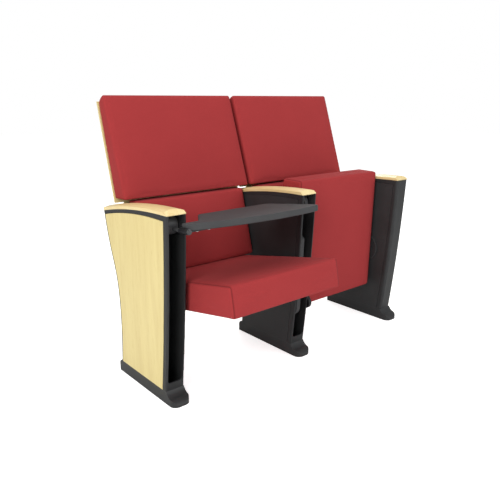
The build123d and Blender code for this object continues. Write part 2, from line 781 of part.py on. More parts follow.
def make_tablet_arm():
    """Swing hub on the cross shaft, with the flip rod below it and a finger grip."""
    hub = rod_x(hub_radius, -hub_half_width - tablet_side_offset, hub_half_width - tablet_side_offset,
                0, tablet_drop)
    rims = hub.edges().filter_by(GeomType.CIRCLE)
    hub = fillet(rims, 3.0)
    grip = RectangleRounded(grip_width, grip_height, grip_width / 2 - 0.1)
    cutter = extrude(Plane.XZ * Pos(-tablet_side_offset, tablet_drop - 3) * grip, amount=-far)
    hub -= Pos(0, hub_radius - grip_depth, 0) * cutter
    length = barrel_end + 2 - rod_start()
    rod = Pos(0, -(rod_start() + barrel_end + 2) / 2, 0) * Rot(90, 0, 0) * Cylinder(rod_radius, length)
    arm = hub + rod
    return arm - rod_x(tablet_shaft_radius + running_clearance, -far, far, 0, tablet_drop)


def rod_start():
    return tablet_shaft_radius + 5


def make_tablet_retainer():
    """Washer and screw head that keep the barrel on the flip rod."""
    washer = Pos(0, -barrel_end - 3.25, 0) * Rot(90, 0, 0) * Cylinder(barrel_radius - 1, 2.5)
    head = Pos(0, -barrel_end - 6, 0) * Rot(90, 0, 0) * Cylinder(5.0, 3.0)
    return washer + head


def make_tablet(name, pedestal, stowed):
    flip = Rot(0, -90, 0) if stowed else Rot(0, 0, 0)
    swing = -tablet_tilt + (tablet_swing if stowed else 0)
    place = Pos(pedestal_places[pedestal] + tablet_side_offset, *tablet_pivot)
    place = place * Rot(swing, 0, 0) * Pos(0, 0, -tablet_drop)
    write(f"{name}_tablet_arm", place * make_tablet_arm())
    write(f"{name}_tablet_retainer", place * make_tablet_retainer())
    write(f"{name}_tablet_top", place * flip * make_tablet_top())
    write(f"{name}_tablet_bracket", place * flip * make_tablet_bracket())
    write(f"{name}_tablet_screws", *[place * flip * screw for screw in make_tablet_screws()])


# ---------------------------------------------------------------- the whole chair
def main():
    os.makedirs("parts", exist_ok=True)
    foot = make_foot()
    armrest = make_armrest()
    for name, x in pedestal_places.items():
        place = Pos(x, 0, 0)
        write(f"{name}_foot", place * foot)
        write(f"{name}_pedestal_frame", place * make_frame(name))
        write(f"{name}_casing", place * make_casing(name))
        write(f"{name}_armrest", place * armrest)
        write(f"{name}_west_panel", place * make_panel(name, -1))
        write(f"{name}_east_panel", place * make_panel(name, 1))
    write("armrest_screws", *[Pos(x, 0, 0) * screw for x in pedestal_places.values()
                              for screw in make_armrest_screws()])

    hinge_places = [(x, direction) for name, x in pedestal_places.items() for direction in seat_sides[name]]
    pieces = {
        "hinge_housings": [make_hinge_housing()],
        "seat_pivot_pins": [make_pivot_pin()],
        "return_springs": [make_return_spring()],
        "back_brackets": [make_bracket()],
        "bracket_bolts": make_bracket_bolts(),
    }
    for node, shapes in pieces.items():
        write(node, *[Pos(x, 0, 0) * sided(shape, direction)
                      for x, direction in hinge_places for shape in shapes])
    write("back_shell_screws", *make_shell_screws("left"), *make_shell_screws("right"))

    stops, bumpers = make_stops()
    stop_pedestals = {"left": "left", "right": "centre"}
    for name, pedestal in stop_pedestals.items():
        write(f"{name}_seat_stops", *[Pos(pedestal_places[pedestal], 0, 0) * stop for stop in stops])
    write("stop_bumpers", *[Pos(pedestal_places[pedestal], 0, 0) * bumper
                            for pedestal in stop_pedestals.values() for bumper in bumpers])
    shaft = rod_x(tablet_shaft_radius, -plate_outer, plate_outer, *tablet_pivot)
    write("tablet_shafts", *[Pos(x, 0, 0) * shaft for name, x in pedestal_places.items() if slotted[name]])
    for name in seat_places:
        make_seat(name)
        make_back(name)
    make_tablet("left", "left", stowed=False)
    make_tablet("right", "centre", stowed=True)


main()
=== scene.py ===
import json
import math

import bpy
import numpy as np
from mathutils import Euler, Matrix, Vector


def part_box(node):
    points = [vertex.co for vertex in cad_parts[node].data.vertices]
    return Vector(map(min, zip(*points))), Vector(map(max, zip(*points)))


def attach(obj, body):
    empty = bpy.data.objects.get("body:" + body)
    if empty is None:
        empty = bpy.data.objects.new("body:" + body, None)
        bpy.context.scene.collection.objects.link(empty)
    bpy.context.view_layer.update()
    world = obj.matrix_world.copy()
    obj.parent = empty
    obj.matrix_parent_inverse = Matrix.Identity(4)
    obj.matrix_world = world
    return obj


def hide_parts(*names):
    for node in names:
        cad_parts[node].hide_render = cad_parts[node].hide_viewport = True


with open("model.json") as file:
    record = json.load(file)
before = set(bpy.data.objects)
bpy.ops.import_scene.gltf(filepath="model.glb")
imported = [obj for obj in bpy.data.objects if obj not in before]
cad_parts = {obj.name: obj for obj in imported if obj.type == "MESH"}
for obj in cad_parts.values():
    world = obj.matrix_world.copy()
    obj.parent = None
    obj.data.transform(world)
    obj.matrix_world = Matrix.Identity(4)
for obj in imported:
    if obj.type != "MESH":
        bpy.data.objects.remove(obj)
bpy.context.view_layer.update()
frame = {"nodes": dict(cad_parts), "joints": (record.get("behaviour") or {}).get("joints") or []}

# Two-place lecture-hall chair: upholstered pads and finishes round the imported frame. Metres.

cadNodes = frame["nodes"]
joints = {joint["name"]: joint for joint in frame["joints"]}
print("frame loaded:", len(cadNodes), "nodes")


# ---- camera, lights and floor

viewSettings = {
    "place": (-1.417, -1.539, 0.956),
    "pitch": 15.34,          # degrees below level
    "yaw": 40.28,            # degrees from +Y towards +X
    "lens": 39.65,
    "sensor": 36.0,
}


def addCamera(s):
    data = bpy.data.cameras.new("viewCamera")
    data.lens, data.sensor_width = s["lens"], s["sensor"]
    data.clip_start, data.clip_end = 0.05, 60.0
    camera = bpy.data.objects.new("viewCamera", data)
    camera.location = s["place"]
    camera.rotation_euler = Euler((math.radians(90 - s["pitch"]), 0, math.radians(-s["yaw"])))
    bpy.context.scene.collection.objects.link(camera)
    bpy.context.scene.camera = camera


lampSettings = {               # place, aim, size, watts, colour
    "sideKey": ((-3.4, -1.6, 2.3), (0.0, 0.0, 0.45), 2.4, 105, (1.0, 0.99, 0.97)),
    "frontFill": ((1.2, -3.8, 1.8), (0.0, 0.0, 0.5), 2.6, 62, (0.98, 0.99, 1.0)),
    "topSoft": ((0.2, 0.4, 3.6), (0.0, 0.0, 0.4), 3.0, 40, (1.0, 1.0, 1.0)),
    "rearRim": ((2.6, 2.8, 2.2), (0.0, 0.0, 0.5), 2.2, 45, (1.0, 1.0, 1.0)),
}


def addLamps(lamps):
    for name, (place, aim, size, watts, colour) in lamps.items():
        data = bpy.data.lights.new(name, "AREA")
        data.shape, data.size, data.energy, data.color = "SQUARE", size, watts, colour
        lamp = bpy.data.objects.new(name, data)
        lamp.location = place
        lamp.rotation_euler = (Vector(aim) - Vector(place)).to_track_quat("-Z", "Y").to_euler()
        lamp.visible_glossy = name != "topSoft"
        bpy.context.scene.collection.objects.link(lamp)


def addMath(tree, operation, first, second=None, third=None):
    node = tree.nodes.new("ShaderNodeMath")
    node.operation = operation
    for socket, value in zip(node.inputs, (first, second, third)):
        if isinstance(value, (int, float)):
            socket.default_value = value
        elif value is not None:
            tree.links.new(value, socket)
    return node.outputs[0]


roomSettings = {
    "seen": 1.0,               # what the camera sees of the world
    "ambient": 0.5,            # what lights the object
    "floorHalf": 14.0,
    "floorColour": (0.93, 0.93, 0.93, 1),
    "floorLift": 0.62,         # added for the camera alone, so the floor stays pale far out
}


def addRoom(s):
    # the world looks plain white to the camera and gives a weaker even light to the object
    world = bpy.data.worlds.new("paleRoom")
    bpy.context.scene.world = world
    world.use_nodes = True
    tree = world.node_tree
    back = tree.nodes["Background"]
    rays = tree.nodes.new("ShaderNodeLightPath")
    level = tree.nodes.new("ShaderNodeMapRange")
    level.inputs["To Min"].default_value = s["ambient"]
    level.inputs["To Max"].default_value = s["seen"]
    back.inputs["Color"].default_value = (1, 1, 1, 1)
    tree.links.new(rays.outputs["Is Camera Ray"], level.inputs["Value"])
    tree.links.new(level.outputs["Result"], back.inputs["Strength"])
    # the floor is one wide level square
    half = s["floorHalf"]
    mesh = bpy.data.meshes.new("paleFloor")
    corners = np.array([(-half, -half, 0), (half, -half, 0), (half, half, 0), (-half, half, 0)])
    mesh.from_pydata(corners.tolist(), [], [(0, 1, 2, 3)])
    floor = bpy.data.objects.new("paleFloor", mesh)
    bpy.context.scene.collection.objects.link(floor)
    paint = bpy.data.materials.new("floorPaint")
    paint.use_nodes = True
    shader = paint.node_tree.nodes["Principled BSDF"]
    shader.inputs["Base Color"].default_value = s["floorColour"]
    shader.inputs["Roughness"].default_value = 0.9
    shader.inputs["Specular IOR Level"].default_value = 0.1
    shader.inputs["Emission Color"].default_value = (1, 1, 1, 1)
    rays = paint.node_tree.nodes.new("ShaderNodeLightPath")
    lift = addMath(paint.node_tree, "MULTIPLY", rays.outputs["Is Camera Ray"], s["floorLift"])
    paint.node_tree.links.new(lift, shader.inputs["Emission Strength"])
    mesh.materials.append(paint)


addCamera(viewSettings)
addLamps(lampSettings)
addRoom(roomSettings)
bpy.context.scene.view_settings.view_transform = "Standard"
print("camera, lights and floor placed")


# ---- node groups shared by the finishes

noises = {                     # scale, detail, roughness, distortion; one unit is a metre of the place given
    "slub": (330.0, 3.0, 0.6, 0.0),
    "cloud": (7.0, 2.0, 0.5, 0.0),
    "figure": (1.0, 5.0, 0.62, 0.5),
    "pores": (9.0, 3.0, 0.7, 0.0),
    "tone": (0.22, 1.0, 0.5, 0.0),
    "mottle": (11.0, 4.0, 0.6, 0.0),
    "chips": (60.0, 4.0, 0.7, 0.0),
}
poreRange = (0.56, 0.74)       # quick noise between these goes from clear wood to a full pore
bendRange = (0.995, 0.86)      # cosine between the true and the rounded normal, from flat to full edge
bevelSamples = 4
fineCells = (2.3, 0.4)         # the finer noise on moulded skin: times the cell scale, and its share


def newGroup(name, inputs, outputs):
    group = bpy.data.node_groups.new(name, "ShaderNodeTree")
    for label, kind, value in inputs:
        socket = group.interface.new_socket(label, in_out="INPUT", socket_type=kind)
        if value is not None:
            socket.default_value = value
    for label in outputs:
        group.interface.new_socket(label, in_out="OUTPUT", socket_type="NodeSocketFloat")
    return group, group.nodes.new("NodeGroupInput"), group.nodes.new("NodeGroupOutput")


def addNoise(tree, place, scale, detail=2.0, rough=0.5, twist=0.0):
    node = tree.nodes.new("ShaderNodeTexNoise")
    node.inputs["Detail"].default_value = detail
    node.inputs["Roughness"].default_value = rough
    node.inputs["Distortion"].default_value = twist
    tree.links.new(place, node.inputs["Vector"])
    if isinstance(scale, (int, float)):
        node.inputs["Scale"].default_value = scale
    else:
        tree.links.new(scale, node.inputs["Scale"])
    return node.outputs["Fac"]


def makeWeaveGroup():
    # a plain weave: the product of two sines across each of the three planes,
    # mixed by where the cloth faces
    group, inlet, outlet = newGroup("plainWeave", [
        ("Place", "NodeSocketVector", None), ("Facing", "NodeSocketVector", None),
        ("Threads", "NodeSocketFloat", 2000.0)], ["Thread", "Slub", "Cloud"])
    place, facing = inlet.outputs["Place"], inlet.outputs["Facing"]
    split = group.nodes.new("ShaderNodeSeparateXYZ")
    group.links.new(place, split.inputs[0])
    waves = [addMath(group, "SINE", addMath(group, "MULTIPLY", axis, inlet.outputs["Threads"]))
             for axis in split.outputs]
    turn = group.nodes.new("ShaderNodeSeparateXYZ")
    group.links.new(facing, turn.inputs[0])
    shares = [addMath(group, "MULTIPLY", axis, axis) for axis in turn.outputs]
    total = None
    for across, along, share in ((1, 2, 0), (0, 2, 1), (0, 1, 2)):
        crossing = addMath(group, "MULTIPLY", waves[across], waves[along])
        cell = addMath(group, "MULTIPLY", crossing, shares[share])
        total = cell if total is None else addMath(group, "ADD", total, cell)
    group.links.new(addMath(group, "MULTIPLY_ADD", total, 0.5, 0.5), outlet.inputs["Thread"])
    group.links.new(addNoise(group, place, *noises["slub"]), outlet.inputs["Slub"])
    group.links.new(addNoise(group, place, *noises["cloud"]), outlet.inputs["Cloud"])
    return group


def makeGrainGroup():
    # wood figure: broad bands from slow noise, and short dark pores where quick noise passes a limit
    group, inlet, outlet = newGroup("woodGrain", [("Place", "NodeSocketVector", None)],
                                    ["Figure", "Pores", "Tone"])
    place = inlet.outputs["Place"]
    broad = addNoise(group, place, *noises["figure"])
    group.links.new(broad, outlet.inputs["Figure"])
    quick = addNoise(group, place, *noises["pores"])
    limit = group.nodes.new("ShaderNodeMapRange")
    limit.inputs["From Min"].default_value, limit.inputs["From Max"].default_value = poreRange
    group.links.new(quick, limit.inputs["Value"])
    group.links.new(limit.outputs["Result"], outlet.inputs["Pores"])
    group.links.new(addNoise(group, place, *noises["tone"]), outlet.inputs["Tone"])
    return group


def makeMouldGroup():
    # moulded or powder-coated skin: small rounded cells with finer noise over them, and a slow mottle
    group, inlet, outlet = newGroup("mouldedSkin", [
        ("Place", "NodeSocketVector", None), ("Cells", "NodeSocketFloat", 900.0)], ["Skin", "Mottle"])
    place = inlet.outputs["Place"]
    cells = group.nodes.new("ShaderNodeTexVoronoi")
    cells.feature = "SMOOTH_F1"
    group.links.new(place, cells.inputs["Vector"])
    group.links.new(inlet.outputs["Cells"], cells.inputs["Scale"])
    finer, share = fineCells
    fine = addNoise(group, place, addMath(group, "MULTIPLY", inlet.outputs["Cells"], finer), 2.0)
    skin = addMath(group, "MULTIPLY_ADD", fine, share, cells.outputs["Distance"])
    group.links.new(skin, outlet.inputs["Skin"])
    group.links.new(addNoise(group, place, *noises["mottle"]), outlet.inputs["Mottle"])
    return group


def makeWearHighlightGroup():
    # edges: where a rounded copy of the normal leaves the true one, broken up by noise; the finishes lighten
    # these edges, partly as wear and partly as painted highlight
    group, inlet, outlet = newGroup("edgeWearHighlight", [
        ("Place", "NodeSocketVector", None), ("Width", "NodeSocketFloat", 0.0015),
        ("Amount", "NodeSocketFloat", 1.0)], ["Edge", "WearHighlight"])
    soft = group.nodes.new("ShaderNodeBevel")
    soft.samples = bevelSamples
    group.links.new(inlet.outputs["Width"], soft.inputs["Radius"])
    true = group.nodes.new("ShaderNodeNewGeometry")
    match = group.nodes.new("ShaderNodeVectorMath")
    match.operation = "DOT_PRODUCT"
    group.links.new(soft.outputs["Normal"], match.inputs[0])
    group.links.new(true.outputs["Normal"], match.inputs[1])
    bend = group.nodes.new("ShaderNodeMapRange")
    bend.inputs["From Min"].default_value, bend.inputs["From Max"].default_value = bendRange
    group.links.new(match.outputs["Value"], bend.inputs["Value"])
    edge = bend.outputs["Result"]
    group.links.new(edge, outlet.inputs["Edge"])
    chips = addNoise(group, inlet.outputs["Place"], *noises["chips"])
    patch = addMath(group, "MULTIPLY", edge, chips)
    group.links.new(addMath(group, "MULTIPLY", patch, inlet.outputs["Amount"]), outlet.inputs["WearHighlight"])
    return group


weaveGroup, grainGroup = makeWeaveGroup(), makeGrainGroup()
mouldGroup, wearHighlightGroup = makeMouldGroup(), makeWearHighlightGroup()


# ---- finishes

def newMaterial(name):
    material = bpy.data.materials.new(name)
    material.use_nodes = True
    tree = material.node_tree
    return material, tree, tree.nodes["Principled BSDF"]


def addGroup(tree, group, **values):
    node = tree.nodes.new("ShaderNodeGroup")
    node.node_tree = group
    for label, value in values.items():
        if isinstance(value, (int, float)):
            node.inputs[label].default_value = value
        else:
            tree.links.new(value, node.inputs[label])
    return node.outputs


def mixColour(tree, share, first, second, blend="MIX"):
    node = tree.nodes.new("ShaderNodeMix")
    node.data_type, node.blend_type = "RGBA", blend
    for socket, value in ((node.inputs[0], share), (node.inputs[6], first), (node.inputs[7], second)):
        if isinstance(value, (int, float)):
            socket.default_value = value
        elif isinstance(value, tuple):
            socket.default_value = (*value, 1.0)
        else:
            tree.links.new(value, socket)
    return node.outputs[2]


def spread(tree, value, low, high, fromLow=0.3, fromHigh=0.7):
    node = tree.nodes.new("ShaderNodeMapRange")
    numbers = {"From Min": fromLow, "From Max": fromHigh, "To Min": low, "To Max": high}
    for label, number in numbers.items():
        node.inputs[label].default_value = number
    tree.links.new(value, node.inputs["Value"])
    return node.outputs["Result"]


def addBump(tree, shader, height, strength, depth):
    node = tree.nodes.new("ShaderNodeBump")
    node.inputs["Strength"].default_value = strength
    node.inputs["Distance"].default_value = depth
    tree.links.new(height, node.inputs["Height"])
    tree.links.new(node.outputs["Normal"], shader.inputs["Normal"])


def objectPlace(tree, stretch=(1.0, 1.0, 1.0)):
    source = tree.nodes.new("ShaderNodeTexCoord")
    mapping = tree.nodes.new("ShaderNodeMapping")
    mapping.inputs["Scale"].default_value = stretch
    tree.links.new(source.outputs["Object"], mapping.inputs["Vector"])
    return mapping.outputs["Vector"]


def attribute(tree, name):
    node = tree.nodes.new("ShaderNodeAttribute")
    node.attribute_name = name
    return node.outputs


clothSettings = {
    "colour": (0.365, 0.036, 0.037),
    "deep": (0.23, 0.020, 0.022),      # between the threads
    # seam: painted shade laid along the seam grooves
    "seam": (0.10, 0.008, 0.009),
    "threadPitch": 0.0019,
    "bump": 0.35, "bumpDepth": 0.0006,
    "slubDark": (0.55, 0.5, 0.5), "slubLight": (1.35, 1.4, 1.4), "slubShare": 0.55,
    "cloudShare": 0.16, "slubHeight": 0.6, "specular": 0.22,
    "sheen": 0.03, "sheenRough": 0.45, "sheenTint": (0.9, 0.45, 0.45, 1),
}


def makeCloth(s):
    material, tree, shader = newMaterial("redUpholstery")
    place, facing = attribute(tree, "clothPlace")["Vector"], attribute(tree, "clothFacing")["Vector"]
    weave = addGroup(tree, weaveGroup, Place=place, Facing=facing, Threads=math.pi / s["threadPitch"])
    colour = mixColour(tree, spread(tree, weave["Thread"], 0.25, 1.0, 0.1, 0.8), s["deep"], s["colour"])
    slub = mixColour(tree, weave["Slub"], s["slubDark"], s["slubLight"])
    colour = mixColour(tree, s["slubShare"], colour, slub, "MULTIPLY")
    colour = mixColour(tree, spread(tree, weave["Cloud"], 0.0, s["cloudShare"]), colour, s["deep"])
    # painted shade along the seam grooves, spread by the seamShade mask
    colour = mixColour(tree, attribute(tree, "seamShade")["Fac"], colour, s["seam"])
    tree.links.new(colour, shader.inputs["Base Color"])
    tree.links.new(spread(tree, weave["Slub"], 0.82, 0.95), shader.inputs["Roughness"])
    height = addMath(tree, "MULTIPLY_ADD", weave["Slub"], s["slubHeight"], weave["Thread"])
    addBump(tree, shader, height, s["bump"], s["bumpDepth"])
    shader.inputs["Specular IOR Level"].default_value = s["specular"]
    shader.inputs["Sheen Weight"].default_value = s["sheen"]
    shader.inputs["Sheen Roughness"].default_value = s["sheenRough"]
    shader.inputs["Sheen Tint"].default_value = s["sheenTint"]
    return material


woodSettings = {                       # light tone, dark tone, pores, stretch, roughness, coat
    "mapleVeneer": ((0.70, 0.59, 0.27), (0.64, 0.52, 0.225), (0.48, 0.35, 0.13), (9, 9, 0.8), 0.50, 0.05),
    "backVeneer": ((0.72, 0.60, 0.29), (0.65, 0.52, 0.23), (0.49, 0.35, 0.13), (8, 8, 0.7), 0.45, 0.10),
    "armrestMaple": ((0.80, 0.66, 0.35), (0.70, 0.53, 0.24), (0.50, 0.34, 0.13), (16, 1.3, 16), 0.38, 0.18),
    "rawPlywood": ((0.62, 0.45, 0.25), (0.52, 0.36, 0.19), (0.36, 0.23, 0.11), (6, 9, 60), 0.78, 0.0),
}


woodLook = {
    "grainScale": 3.0, "toneShare": 0.35, "poreShare": 0.38, "poreRough": 0.16,
    "wearHighlightWidth": 0.002, "wearHighlightAmount": 0.6, "bump": 0.25, "bumpDepth": 0.0003, "coatRough": 0.25,
}


def makeWood(name, light, dark, poreColour, stretch, rough, coat):
    material, tree, shader = newMaterial(name)
    place = objectPlace(tree)
    look = woodLook
    along = objectPlace(tree, tuple(look["grainScale"] * k for k in stretch))
    grain = addGroup(tree, grainGroup, Place=along)
    wearHighlight = addGroup(tree, wearHighlightGroup, Place=place, Width=look["wearHighlightWidth"], Amount=look["wearHighlightAmount"])
    colour = mixColour(tree, spread(tree, grain["Figure"], 0.0, 1.0, 0.36, 0.64), light, dark)
    colour = mixColour(tree, spread(tree, grain["Tone"], 0.0, look["toneShare"]), colour, dark)
    pores = addMath(tree, "MULTIPLY", grain["Pores"], look["poreShare"])
    colour = mixColour(tree, pores, colour, poreColour)
    # edges lightened towards the light tone: partly wear, partly painted highlight
    colour = mixColour(tree, wearHighlight["WearHighlight"], colour, light)
    tree.links.new(colour, shader.inputs["Base Color"])
    dull = addMath(tree, "MULTIPLY_ADD", grain["Pores"], look["poreRough"], rough)
    tree.links.new(dull, shader.inputs["Roughness"])
    sunk = addMath(tree, "MULTIPLY", grain["Pores"], -1.0)
    addBump(tree, shader, sunk, look["bump"], look["bumpDepth"])
    shader.inputs["Coat Weight"].default_value = coat
    shader.inputs["Coat Roughness"].default_value = look["coatRough"]
    return material


# the worn colour lightens the edges: partly wear, partly painted highlight
skinSettings = {                       # colour, worn colour, cells, roughness, bump, metallic
    "panelPlastic": ((0.033, 0.034, 0.035), (0.06, 0.06, 0.062), 800.0, 0.50, 0.30, 0.0),
    "casingPlastic": ((0.027, 0.028, 0.029), (0.06, 0.06, 0.062), 800.0, 0.46, 0.28, 0.0),
    "tabletPlastic": ((0.052, 0.053, 0.055), (0.08, 0.08, 0.083), 1000.0, 0.62, 0.25, 0.0),
    "footCoat": ((0.031, 0.032, 0.033), (0.07, 0.07, 0.07), 520.0, 0.44, 0.45, 0.0),
    "armCoat": ((0.055, 0.056, 0.059), (0.16, 0.16, 0.16), 600.0, 0.40, 0.25, 0.0),
    "frameCoat": ((0.014, 0.014, 0.016), (0.10, 0.10, 0.10), 600.0, 0.42, 0.25, 0.0),
    "zincSteel": ((0.52, 0.52, 0.50), (0.75, 0.75, 0.74), 240.0, 0.34, 0.10, 1.0),
    "naturalNylon": ((0.62, 0.60, 0.52), (0.70, 0.69, 0.62), 700.0, 0.50, 0.12, 0.0),
    "blackRubber": ((0.016, 0.016, 0.016), (0.05, 0.05, 0.05), 500.0, 0.72, 0.30, 0.0),
}


skinLook = {
    "darker": 0.78, "wearHighlightWidth": 0.0016, "wearHighlightAmount": 1.1, "smoother": 0.05, "duller": 0.06,
    "edgeRough": -0.06, "bumpDepth": 0.0002, "specular": 0.25,
}


def makeSkin(name, colour, wornHighlit, cells, rough, bump, metallic):
    material, tree, shader = newMaterial(name)
    place = objectPlace(tree)
    skin = addGroup(tree, mouldGroup, Place=place, Cells=cells)
    look = skinLook
    wearHighlight = addGroup(tree, wearHighlightGroup, Place=place, Width=look["wearHighlightWidth"], Amount=look["wearHighlightAmount"])
    darker = tuple(look["darker"] * c for c in colour)
    tone = mixColour(tree, spread(tree, skin["Mottle"], 0.0, 1.0), darker, colour)
    # edges lightened towards the worn colour: partly wear, partly painted highlight
    tree.links.new(mixColour(tree, wearHighlight["WearHighlight"], tone, wornHighlit), shader.inputs["Base Color"])
    shine = spread(tree, skin["Mottle"], rough - look["smoother"], rough + look["duller"])
    dull = addMath(tree, "MULTIPLY_ADD", wearHighlight["Edge"], look["edgeRough"], shine)
    tree.links.new(dull, shader.inputs["Roughness"])
    addBump(tree, shader, skin["Skin"], bump, look["bumpDepth"])
    shader.inputs["Metallic"].default_value = metallic
    shader.inputs["Specular IOR Level"].default_value = look["specular"]
    return material


finishes = {name: makeWood(name, *values) for name, values in woodSettings.items()}
finishes.update({name: makeSkin(name, *values) for name, values in skinSettings.items()})
clothRed = makeCloth(clothSettings)

finishOfSlot = {
    "maple_veneer": "mapleVeneer", "back_veneer": "backVeneer", "armrest_wood": "armrestMaple",
    "plywood": "rawPlywood", "panel_plastic": "panelPlastic", "casing_plastic": "casingPlastic",
    "tablet_plastic": "tabletPlastic", "foot_paint": "footCoat", "arm_paint": "armCoat",
    "frame_paint": "frameCoat", "zinc_steel": "zincSteel", "nylon": "naturalNylon", "rubber": "blackRubber",
}


def dressCadNodes():
    for node in cadNodes.values():
        slotName = node.data.materials[0].name.split(".")[0]
        node.data.materials.clear()
        node.data.materials.append(finishes.get(finishOfSlot.get(slotName), clothRed))


dressCadNodes()
print("finishes made and put on the packed nodes")


# ---- cushions

def turnAboutX(points, degrees, origin):
    # a plain turn of (x, y, z) rows about a line along X through origin
    c, s = math.cos(math.radians(degrees)), math.sin(math.radians(degrees))
    moved = points - origin
    y, z = moved[:, 1] * c - moved[:, 2] * s, moved[:, 1] * s + moved[:, 2] * c
    return np.stack([moved[:, 0], y, z], 1) + origin


def nodePoints(name):
    mesh = cadNodes[name].data
    points = np.empty(len(mesh.vertices) * 3)
    mesh.vertices.foreach_get("co", points)
    return points.reshape(-1, 3)


def roundedLoop(corners, radii, perArc=7, perSide=26):
    # a polygon with an arc at each corner
    # gives the points, their outward normals, the side each lies on and its place along that side
    corners = np.array(corners, float)
    count = len(corners)
    before = corners - np.roll(corners, 1, 0)
    before /= np.linalg.norm(before, axis=1)[:, None]
    after = np.roll(before, -1, 0)
    points, normals, sides, along = [], [], [], []
    for i in range(count):
        bend = math.acos(np.clip(before[i] @ after[i], -1, 1))
        reach = radii[i] * math.tan(bend / 2)
        normal = np.array([before[i][1], -before[i][0]])
        centre = corners[i] - before[i] * reach - normal * radii[i]
        start = math.atan2(normal[1], normal[0])
        angle = start + np.linspace(0, bend, perArc)
        outward = np.stack([np.cos(angle), np.sin(angle)], 1)
        points.append(centre + outward * radii[i])
        normals.append(outward)
        sides.append(np.full(perArc, -1))
        along.append(np.zeros(perArc))
        j = (i + 1) % count
        nextBend = math.acos(np.clip(before[j] @ after[j], -1, 1))
        first = corners[i] + after[i] * reach
        last = corners[j] - after[i] * radii[j] * math.tan(nextBend / 2)
        share = np.linspace(0, 1, perSide + 2)[1:-1]
        points.append(first + (last - first) * share[:, None])
        normals.append(np.tile(outward[-1], (perSide, 1)))
        sides.append(np.full(perSide, i))
        along.append(share)
    return (np.concatenate(points), np.concatenate(normals), np.concatenate(sides), np.concatenate(along))


# rings in each side round, between the rounds, and in each cap
blankCounts = {"round": 6, "width": 34, "cap": 14}


def padBlank(s, halfWidth):
    # the section loop carried across from one side to the other: drawn in near both sides along
    # a quarter circle, crowned by the product of two parabolas on each face, and closed by rings
    # that shrink to a point
    points, normals, sides, along = roundedLoop(s["corners"], s["radii"])
    room, edge, counts = s["room"], s["sideRound"], blankCounts
    reach = halfWidth - room
    lift = np.linspace(0, math.pi / 2, counts["round"])
    ends = reach - edge + edge * np.sin(lift)
    inset = edge * (1 - np.cos(lift))
    middle = np.linspace(-(reach - edge), reach - edge, counts["width"])
    stations = np.concatenate([-ends[:0:-1], middle, ends[1:]])
    insets = np.concatenate([inset[:0:-1], np.zeros(len(middle)), inset[1:]]) + room
    across = 1 - (stations / reach) ** 2
    crown = np.array(s["crowns"])[sides] * (sides >= 0) * 4 * along * (1 - along)
    out = across[:, None] * crown[None] - insets[:, None]
    rings = points[None] + normals[None] * out[:, :, None]
    x = np.repeat(stations[:, None], len(points), 1)
    grid = np.concatenate([x[:, :, None], rings], 2)
    centre = points.mean(0)
    shrink = np.linspace(1, 0, counts["cap"])[1:]
    caps = []
    for side in (0, -1):
        flat = centre + (rings[side] - centre) * shrink[:, None, None]
        face = np.full((len(shrink), len(points), 1), np.sign(stations[side]) * reach)
        caps.append(np.concatenate([face, flat], 2))
    return np.concatenate([caps[0][::-1], grid, caps[1]])


def closedMesh(name, grid):
    # a grid of rings closed round, with each end ring gathered in one point
    rows, columns = grid.shape[:2]
    mesh = bpy.data.meshes.new(name)
    points = np.concatenate([grid[1:-1].reshape(-1, 3), grid[:1, 0], grid[-1:, 0]])
    ring = np.arange(columns)
    follow = np.roll(ring, -1)
    base = (np.arange(rows - 3) * columns)[:, None]
    quads = np.stack([base + ring, base + follow, base + columns + follow, base + columns + ring], 2)
    quads = quads.reshape(-1, 4)
    low, high, last = len(points) - 2, len(points) - 1, (rows - 3) * columns
    fans = [(low, int(b), int(a)) for a, b in zip(ring, follow)]
    fans += [(high, int(last + a), int(last + b)) for a, b in zip(ring, follow)]
    faces = [tuple(quad[::-1]) for quad in quads.tolist()] + [fan[::-1] for fan in fans]
    mesh.from_pydata(points.tolist(), [], faces)
    return mesh


def meshPoints(mesh):
    points = np.empty(len(mesh.vertices) * 3)
    mesh.vertices.foreach_get("co", points)
    return points.reshape(-1, 3)


def meshNormals(mesh):
    normals = np.empty(len(mesh.vertices) * 3)
    mesh.vertices.foreach_get("normal", normals)
    return normals.reshape(-1, 3)


def evaluated(piece):
    graph = bpy.context.evaluated_depsgraph_get()
    graph.update()
    return bpy.data.meshes.new_from_object(piece.evaluated_get(graph))


swellSettings = {
    "quality": 4, "mass": 0.3, "bending": 1.0, "frames": 20,
    "heldFrom": 0.4, "heldFade": 0.4,         # how squarely the cloth must face its board to stay put
}


def swell(piece, s):
    # pressure fills the pad; each point then keeps a capped part of its outward travel,
    # none where it rests
    scene = bpy.context.scene
    rest, facing = meshPoints(piece.data), meshNormals(piece.data)
    cloth = piece.modifiers.new("swell", "CLOTH")
    cloth.settings.quality = swellSettings["quality"]
    cloth.settings.mass = swellSettings["mass"]
    cloth.settings.tension_stiffness = cloth.settings.compression_stiffness = s["stiffness"]
    cloth.settings.shear_stiffness = s["stiffness"] / 2
    cloth.settings.bending_stiffness = swellSettings["bending"]
    cloth.settings.use_pressure = True
    cloth.settings.uniform_pressure_force = s["pressure"]
    cloth.settings.effector_weights.gravity = 0.0
    cloth.collision_settings.use_collision = False
    cloth.point_cache.frame_start, cloth.point_cache.frame_end = 1, swellSettings["frames"]
    for step in range(1, swellSettings["frames"] + 1):
        scene.frame_set(step)
    moved = evaluated(piece)
    travel = meshPoints(moved) - rest
    bpy.data.meshes.remove(moved)
    piece.modifiers.remove(cloth)
    scene.frame_set(1)
    out = np.clip((travel * facing).sum(1), 0, None)
    out *= s["cap"] / (s["cap"] + out)
    held, fade = swellSettings["heldFrom"], swellSettings["heldFade"]
    out *= 1 - np.clip((facing @ np.array(s["restsOn"]) - held) / fade, 0, 1)
    piece.data.vertices.foreach_set("co", (rest + facing * out[:, None]).ravel())
    piece.data.update()
    print("   swelled, travel up to %.1f mm" % (1000 * out.max()))


